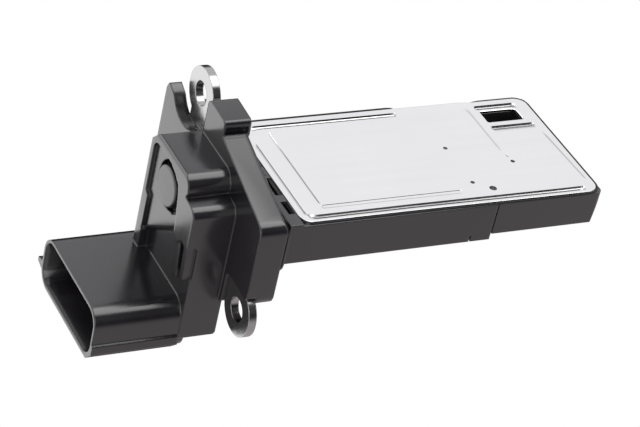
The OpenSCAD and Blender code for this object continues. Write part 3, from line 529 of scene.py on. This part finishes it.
# marks along one side of the sheet: the ends of all bands cut it, and each stretch between
# two cuts is shared evenly, by the finest step that holds there
def gridMarks(length, bands, coarse):
    cuts = np.unique([0.0, length] + [v for band in bands for v in band[:2]])
    marks = [np.array([0.0])]
    for begin, end in zip(cuts[:-1], cuts[1:]):
        middle = 0.5 * (begin + end)
        steps = [step for low, high, step in bands if low <= middle <= high]
        count = max(1, int(math.ceil((end - begin) / min(steps + [coarse]) - 1e-6)))
        marks.append(np.linspace(begin, end, count + 1)[1:])
    return np.concatenate(marks)


# turns square rings into round ones near a corner: a and b are the distances from the two
# edges, t = min(a, b) names the ring and s = |a - b| runs along it. The first quarter of the
# arc of radius r(t) = radius * (1 - |t| / fade) and the straight after it share s evenly.
def turnCorner(a, b, radius, fade, span):
    t = np.minimum(a, b)
    s = np.abs(a - b)
    r = radius * np.clip(1.0 - np.abs(t) / fade, 1e-6, 1.0)
    arc = math.pi * r / 4.0
    run = s * (arc + span - r) / span
    angle = math.radians(225.0) + np.minimum(run / r, math.pi / 4.0)
    onArc = run < arc
    along = np.where(onArc, t + r + r * np.cos(angle), t + r + run - arc)
    across = np.where(onArc, t + r + r * np.sin(angle), t)
    along = np.where(s < span, along, t + s)
    across = np.where(s < span, across, t)
    return np.where(a >= b, along, across), np.where(a >= b, across, along)


# turns the four corners of a rectangle, given by its ends along x and y
def turnCorners(x, y, ends, corner):
    for mx, sx in ((ends[0], 1.0), (ends[1], -1.0)):
        for my, sy in ((ends[2], 1.0), (ends[3], -1.0)):
            a, b = turnCorner((x - mx) * sx, (y - my) * sy, *corner)
            x, y = mx + a * sx, my + b * sy
    return x, y


# turns the square rings round a hole into circles: a point keeps its direction and takes the
# ring's half side as its radius, and the change dies out between two radii
def turnHole(x, y, hx, hy, r, ends):
    dx, dy = x - hx, y - hy
    square = np.maximum(np.abs(dx), np.abs(dy))
    fade = 1.0 - smooth(r * ends[0], r * ends[1], square)
    grow = 1.0 + fade * (square / np.maximum(np.hypot(dx, dy), 1e-9) - 1.0)
    return hx + dx * grow, hy + dy * grow


# height over the flat top: a quarter round at the edge and at the window, less the grooves,
# plus the ridge (up by one smooth step and down by another), the end step and the dimple
def coverHeight(c, x, y, length, width):
    edge = np.minimum(np.minimum(x, length - x), np.minimum(y, width - y))
    roll = c["edgeRoll"]
    h = -roll + np.sqrt(np.maximum(roll**2 - np.maximum(roll - edge, 0.0) ** 2, 0.0))
    for direction, section, start, wide, deep, begin, end, run, _, _ in c["grooves"].values():
        across, along = (y, x) if direction == "x" else (x, y)
        shape = pressed(c["sections"][section], across, start, wide, deep)
        h -= shape * between(along, begin, end, run)
    x0, x1, y0, y1 = c["window"]
    outside = np.maximum(np.maximum(x0 - x, x - x1), np.maximum(y0 - y, y - y1))
    roll = c["windowRoll"]
    lip = np.clip(roll - np.maximum(outside, 0.0), 0.0, roll)
    h -= roll - np.sqrt(roll**2 - lip**2)
    ridge = c["ridge"]
    foot, crest, back = ridge["across"]
    span = smooth(*ridge["begins"], y) * (1.0 - smooth(*ridge["ends"], y))
    h += ridge["rise"] * smooth(foot, crest, x) * (1.0 - smooth(crest, back, x)) * span
    step = c["endStep"]
    ax, ay, bx, by = step["line"]
    past = x - ax - (bx - ax) * (y - ay) / (by - ay)
    level = smooth(*step["level"], past)
    fall = smooth(-step["half"], step["half"], past) * (1.0 - level)
    climb = (smooth(step["climb"], -step["half"], past) - level) * (1.0 - fall)
    span = smooth(*step["nearFade"], y) * (1.0 - smooth(*step["farFade"], y))
    h += step["height"] * climb * span
    dx, dy, size, deep = c["dimple"]
    return h - deep * np.exp(-((x - dx) ** 2 + (y - dy) ** 2) / size**2)


# bands of the grid, one list for each direction
def coverBands(c, length, width):
    bands = []
    for key, total in (("xGrid", length), ("yGrid", width)):
        fromEnd = [(a + total, b + total, step) for a, b, step in c[key][1:] if a < 0.0]
        bands.append([band for band in c[key][1:] if band[0] >= 0.0] + fromEnd)
    xBands, yBands = bands
    for groove in c["grooves"].values():
        direction, section, start, wide, _, begin, end, run, step, runStep = groove
        across, along = (yBands, xBands) if direction == "x" else (xBands, yBands)
        cuts = [start + wide * q for q in c["sections"][section][0]]
        across += [(a, b, step) for a, b in zip(cuts[:-1], cuts[1:])]
        along += [(v, v + run, runStep) for v in (begin, end - run)]
    for k, place in enumerate(c["window"]):
        a, b, step = c["windowBands"][k]
        (xBands, yBands)[k // 2].append((place + a, place + b, step))
    xBands.append(c["ridgeBand"])
    reach = c["holeRound"][1]
    for hx, hy, r in c["gaugeHoles"]:
        for marks, at in ((xBands, hx), (yBands, hy)):
            marks += [(at - r, at + r, r / 3.0), (at - reach * r, at + reach * r, r / 2.0)]
    return xBands, yBands


# sheet: a grid of places (x, y) with the height over each, its corners and holes turned
# round; underneath lies the same grid, flat and drawn in at the edges, and walls join the two
def makeCover(c):
    low, high = boxOf("metal_cover")
    length, width = high[:2] - low[:2]
    xBands, yBands = coverBands(c, length, width)
    xs = gridMarks(length, xBands, c["xGrid"][0])
    ys = gridMarks(width, yBands, c["yGrid"][0])
    x, y = np.meshgrid(xs, ys, indexing="ij")
    z = coverHeight(c, x, y, length, width)
    # faces of the grid, without the window and the gauge holes
    x0, x1, y0, y1 = c["window"]
    midX, midY = np.meshgrid(0.5 * (xs[1:] + xs[:-1]), 0.5 * (ys[1:] + ys[:-1]), indexing="ij")
    keep = ~((midX > x0) & (midX < x1) & (midY > y0) & (midY < y1))
    for hx, hy, r in c["gaugeHoles"]:
        keep &= np.maximum(np.abs(midX - hx), np.abs(midY - hy)) > r
    index = np.arange(x.size).reshape(x.shape)
    around = [index[:-1, :-1], index[1:, :-1], index[1:, 1:], index[:-1, 1:]]
    quads = np.stack(around, axis=-1)[keep]
    for hx, hy, r in c["gaugeHoles"]:
        x, y = turnHole(x, y, hx, hy, r, c["holeRound"])
    x, y = turnCorners(x, y, c["window"], c["windowCorner"])
    x, y = turnCorners(x, y, (0.0, length, 0.0, width), c["sheetCorner"])
    # the near edge stays in along the root half, the far edge beside the window
    most, begin, end, fade = c["nearIn"]
    nearIn = most * np.clip((end - x) / (end - begin), 0.0, 1.0) * (1.0 - smooth(0.0, fade, y))
    most, begin, end, fade = c["farIn"]
    farIn = most * smooth(begin, end, x) * (1.0 - smooth(0.0, fade, width - y))
    y = y + nearIn - farIn
    top = np.stack([x + low[0], y + low[1], z + high[2]], axis=-1).reshape(-1, 3)
    # underneath, the edge draws in by the undercut and the rest follows less and less
    pull = c["undercut"]
    under = top.copy()
    for k, (v, size) in enumerate(((x, length), (y, width))):
        drawn = np.exp(-v / (2.0 * pull)) - np.exp(-(size - v) / (2.0 * pull))
        under[:, k] += (pull * drawn).reshape(-1)
    under[:, 2] = high[2] - c["sheet"]
    # walls stand on the edges that only one face has
    count = len(top)
    edges = np.concatenate([quads[:, [k, (k + 1) % 4]] for k in range(4)])
    tag = np.sort(edges, axis=1) @ np.array([count, 1])
    back, times = np.unique(tag, return_inverse=True, return_counts=True)[1:]
    rim = edges[times[back] == 1]
    walls = np.stack([rim[:, 0], rim[:, 0] + count, rim[:, 1] + count, rim[:, 1]], axis=-1)
    faces = np.concatenate([quads, quads[:, ::-1] + count, walls])
    used, back = np.unique(faces, return_inverse=True)
    points = np.concatenate([top, under])[used]
    faces = back.reshape(faces.shape).tolist()
    angle = c["angle"]
    makePiece("coverSheet", "coverSheet", points, faces, angle, "metal_cover")
    print("stage: cover made with", len(faces) * 2, "triangles")


makeCover(cover)

# black bead along the sheet's edges, a painted shadow: along the near edge and round the end it
# stands in the shaded gap between the sheet and the moulding; an oval section carried along a path
edgeBead = {
    "width": 0.42,
    "height": 0.46,
    "sides": 12,
    "step": 0.8,
    "endSizes": (0.02, 0.7),  # share of the section in the last two rings
    "root": 1.2,  # where the near side begins
    "farEnd": 48.2,
    "corner": 2.5,
    "cornerPoints": 13,
    "crest": (4.80, 5.04),  # level of the bead's crest along the near side, and past the corner
    "climb": (5.0, 1.0),  # where it climbs, before the sheet's end
    "out": (0.04, 0.18),  # how far its middle is outside the sheet: near side, past the corner
    "lip": (2.3, 32.3, 0.27, 5.09),  # along the far edge: from, to, distance outside, crest
}


# points of a path: each straight of it is cut into equal lengths of about the step
def pathPoints(corners, step):
    corners = np.array(corners, float)
    parts = [
        a + (b - a) * np.linspace(0.0, 1.0, max(2, int(np.hypot(*(b - a)) / step) + 1))[:-1, None]
        for a, b in zip(corners[:-1], corners[1:])
    ]
    return np.concatenate(parts + [corners[-1:]])


# tube of oval section: point (i, j) = path i + side i * w * cos(j) + up * h * sin(j), where w
# and h shrink to nothing over the last two rings at each end
def makeBead(name, path, tops, c):
    tangent = np.gradient(path, axis=0)
    tangent /= np.hypot(tangent[:, 0], tangent[:, 1])[:, None]
    side = np.stack([tangent[:, 1], -tangent[:, 0]], axis=-1)
    turn = np.linspace(0.0, 2.0 * math.pi, c["sides"], endpoint=False)
    size = np.ones(len(path))
    size[[0, -1]], size[[1, -2]] = c["endSizes"]
    w = c["width"] / 2.0 * size[:, None]
    h = c["height"] / 2.0 * size[:, None]
    points = np.empty((len(path), c["sides"], 3))
    points[..., :2] = path[:, None, :] + side[:, None, :] * (w * np.cos(turn))[..., None]
    points[..., 2] = tops[:, None] - c["height"] / 2.0 + h * np.sin(turn)
    rings, sides = points.shape[:2]
    first, last = list(range(sides)), list(range((rings - 1) * sides, rings * sides))
    faces = ringQuads(rings, sides).tolist() + [first, last[::-1]]
    makePiece(name, "blackBead", points.reshape(-1, 3), faces)


# the bead, a black tube that paints the shadow in the gap beside the sheet, runs along the near
# edge, round both corners of the end and back to the window; the lip, a black tube of the same
# section, lies beside the far edge
def makeBeads(c, sheet):
    (x0, y0, _), (x1, y1, _) = boxOf("metal_cover")
    most, begin, end, _ = sheet["nearIn"]
    farY = y1 - sheet["farIn"][0]
    r, (nearOut, out) = c["corner"], c["out"]
    q = np.linspace(0.0, math.pi / 2.0, c["cornerPoints"])
    nearCorner = np.stack([x1 + out - r + r * np.sin(q), y0 - out + r - r * np.cos(q)], axis=-1)
    farCorner = np.stack([x1 + out - r + r * np.cos(q), farY + out - r + r * np.sin(q)], axis=-1)
    corners = [
        [x0 + c["root"], y0 + most - nearOut],
        [x0 + begin, y0 + most - nearOut],
        [x0 + end, y0 - nearOut],
        *nearCorner.tolist(),
        *farCorner.tolist(),
        [x0 + c["farEnd"], farY + out],
    ]
    path = pathPoints(corners, c["step"])
    nearTop, endTop = c["crest"]
    begin, end = c["climb"]
    reached = np.maximum(path[:, 0], x1 * (path[:, 1] > 0))
    tops = nearTop + (endTop - nearTop) * smooth(x1 - begin, x1 - end, reached)
    # painted shadow: the near bead is a black tube standing in the shaded gap between sheet and
    # moulding
    makeBead("shadowGapBead", path, tops, c)
    begin, end, out, crest = c["lip"]
    path = pathPoints([[x0 + begin, y1 + out], [x0 + end, y1 + out]], c["step"])
    makeBead("farLip", path, np.full(len(path), crest), c)


makeBeads(edgeBead, cover)
print("stage: bead and lip made")

# sealing ring: a round section with a fine line of flash, carried along a rounded rectangle
sealRing = {
    "bend": 2.7,  # radius of the path's corners
    "sides": 20,
    "bendSteps": 12,
    "flash": 0.02,
    "flashWidth": 0.25,  # in radians of the section
    "angle": 60,
}


# point (i, j) = corner centre + outward direction i * (bend + b * cos(j)) + along x * b *
# sin(j), where i runs through four quarter turns and b is the section's radius at j
def makeSealRing(c):
    low, high = boxOf("seal_ring")
    radius = (high[0] - low[0]) / 2.0
    half = (high[1:] - low[1:]) / 2.0 - radius - c["bend"]
    turn = np.linspace(0.0, math.pi / 2.0, c["bendSteps"] + 1)
    angle = np.concatenate([turn + k * math.pi / 2.0 for k in range(4)])
    side = np.repeat(np.array([[1, 1], [-1, 1], [-1, -1], [1, -1]]), c["bendSteps"] + 1, axis=0)
    out = np.stack([np.cos(angle), np.sin(angle)], axis=-1)
    path = side * half + out * c["bend"]
    around = np.linspace(0.0, 2.0 * math.pi, c["sides"], endpoint=False)
    fromLine = np.minimum(around, 2.0 * math.pi - around) / c["flashWidth"]
    bulge = radius - c["flash"] + c["flash"] * np.exp(-(fromLine**2))
    points = np.empty((len(path), c["sides"], 3))
    points[..., 0] = bulge * np.sin(around)
    points[..., 1:] = path[:, None, :] + out[:, None, :] * (bulge * np.cos(around))[None, :, None]
    points = points.reshape(-1, 3) + (high + low) / 2.0
    faces = ringQuads(len(path), c["sides"], closed=True).tolist()
    makePiece("sealRing", "sealRubber", points, faces, c["angle"], "seal_ring")


makeSealRing(sealRing)

# round plug in the head: a profile turned about the plug's own axis
headPlug = {
    "rimRadius": 0.35,
    "crown": 0.06,
    "steps": 64,
    "faceRings": 10,
    "rimRings": 7,
    "hub": 0.04,  # radius of the innermost ring, as a share
    "angle": 50,
}


# point (i, j) = axis + (x(i), r(i) * cos(j), r(i) * sin(j)): the profile is a shallow bowl,
# a quarter round rim, a straight wall and the back, and a centre point closes each end
def makeHeadPlug(c):
    low, high = boxOf("head_plug")
    radius = (high[1] - low[1]) / 2.0
    front, back = low[0], high[0]
    middleY, middleZ = (high[1:] + low[1:]) / 2.0
    rim, hub, m = c["rimRadius"], c["hub"], c["steps"]
    q = np.linspace(0.0, math.pi / 2.0, c["rimRings"])[1:]
    face = np.linspace(hub, 1.0, c["faceRings"]) * (radius - rim)
    r = np.concatenate([face, radius - rim + rim * np.sin(q), [radius, hub * radius]])
    bowl = c["crown"] * (face / radius) ** 2
    x = front + np.concatenate([bowl, c["crown"] + rim * (1.0 - np.cos(q)), [back - front] * 2])
    turn = np.linspace(0.0, 2.0 * math.pi, m, endpoint=False)
    points = np.empty((len(x), m, 3))
    points[..., 0] = x[:, None]
    points[..., 1] = middleY + r[:, None] * np.cos(turn)
    points[..., 2] = middleZ + r[:, None] * np.sin(turn)
    centres = [[front, middleY, middleZ], [back, middleY, middleZ]]
    points = np.concatenate([points.reshape(-1, 3), centres])
    j = np.arange(m)
    nextJ, last, centre = (j + 1) % m, (len(x) - 1) * m, len(x) * m
    caps = [[np.full(m, centre), nextJ, j], [np.full(m, centre + 1), last + j, last + nextJ]]
    fans = np.concatenate([np.stack(cap, axis=-1) for cap in caps])
    faces = ringQuads(len(x), m)[:, [0, 3, 2, 1]].tolist() + fans.tolist()
    makePiece("headPlug", "plugMoulding", points, faces, c["angle"], "head_plug")


makeHeadPlug(headPlug)
print("stage: sealing ring and plug made")
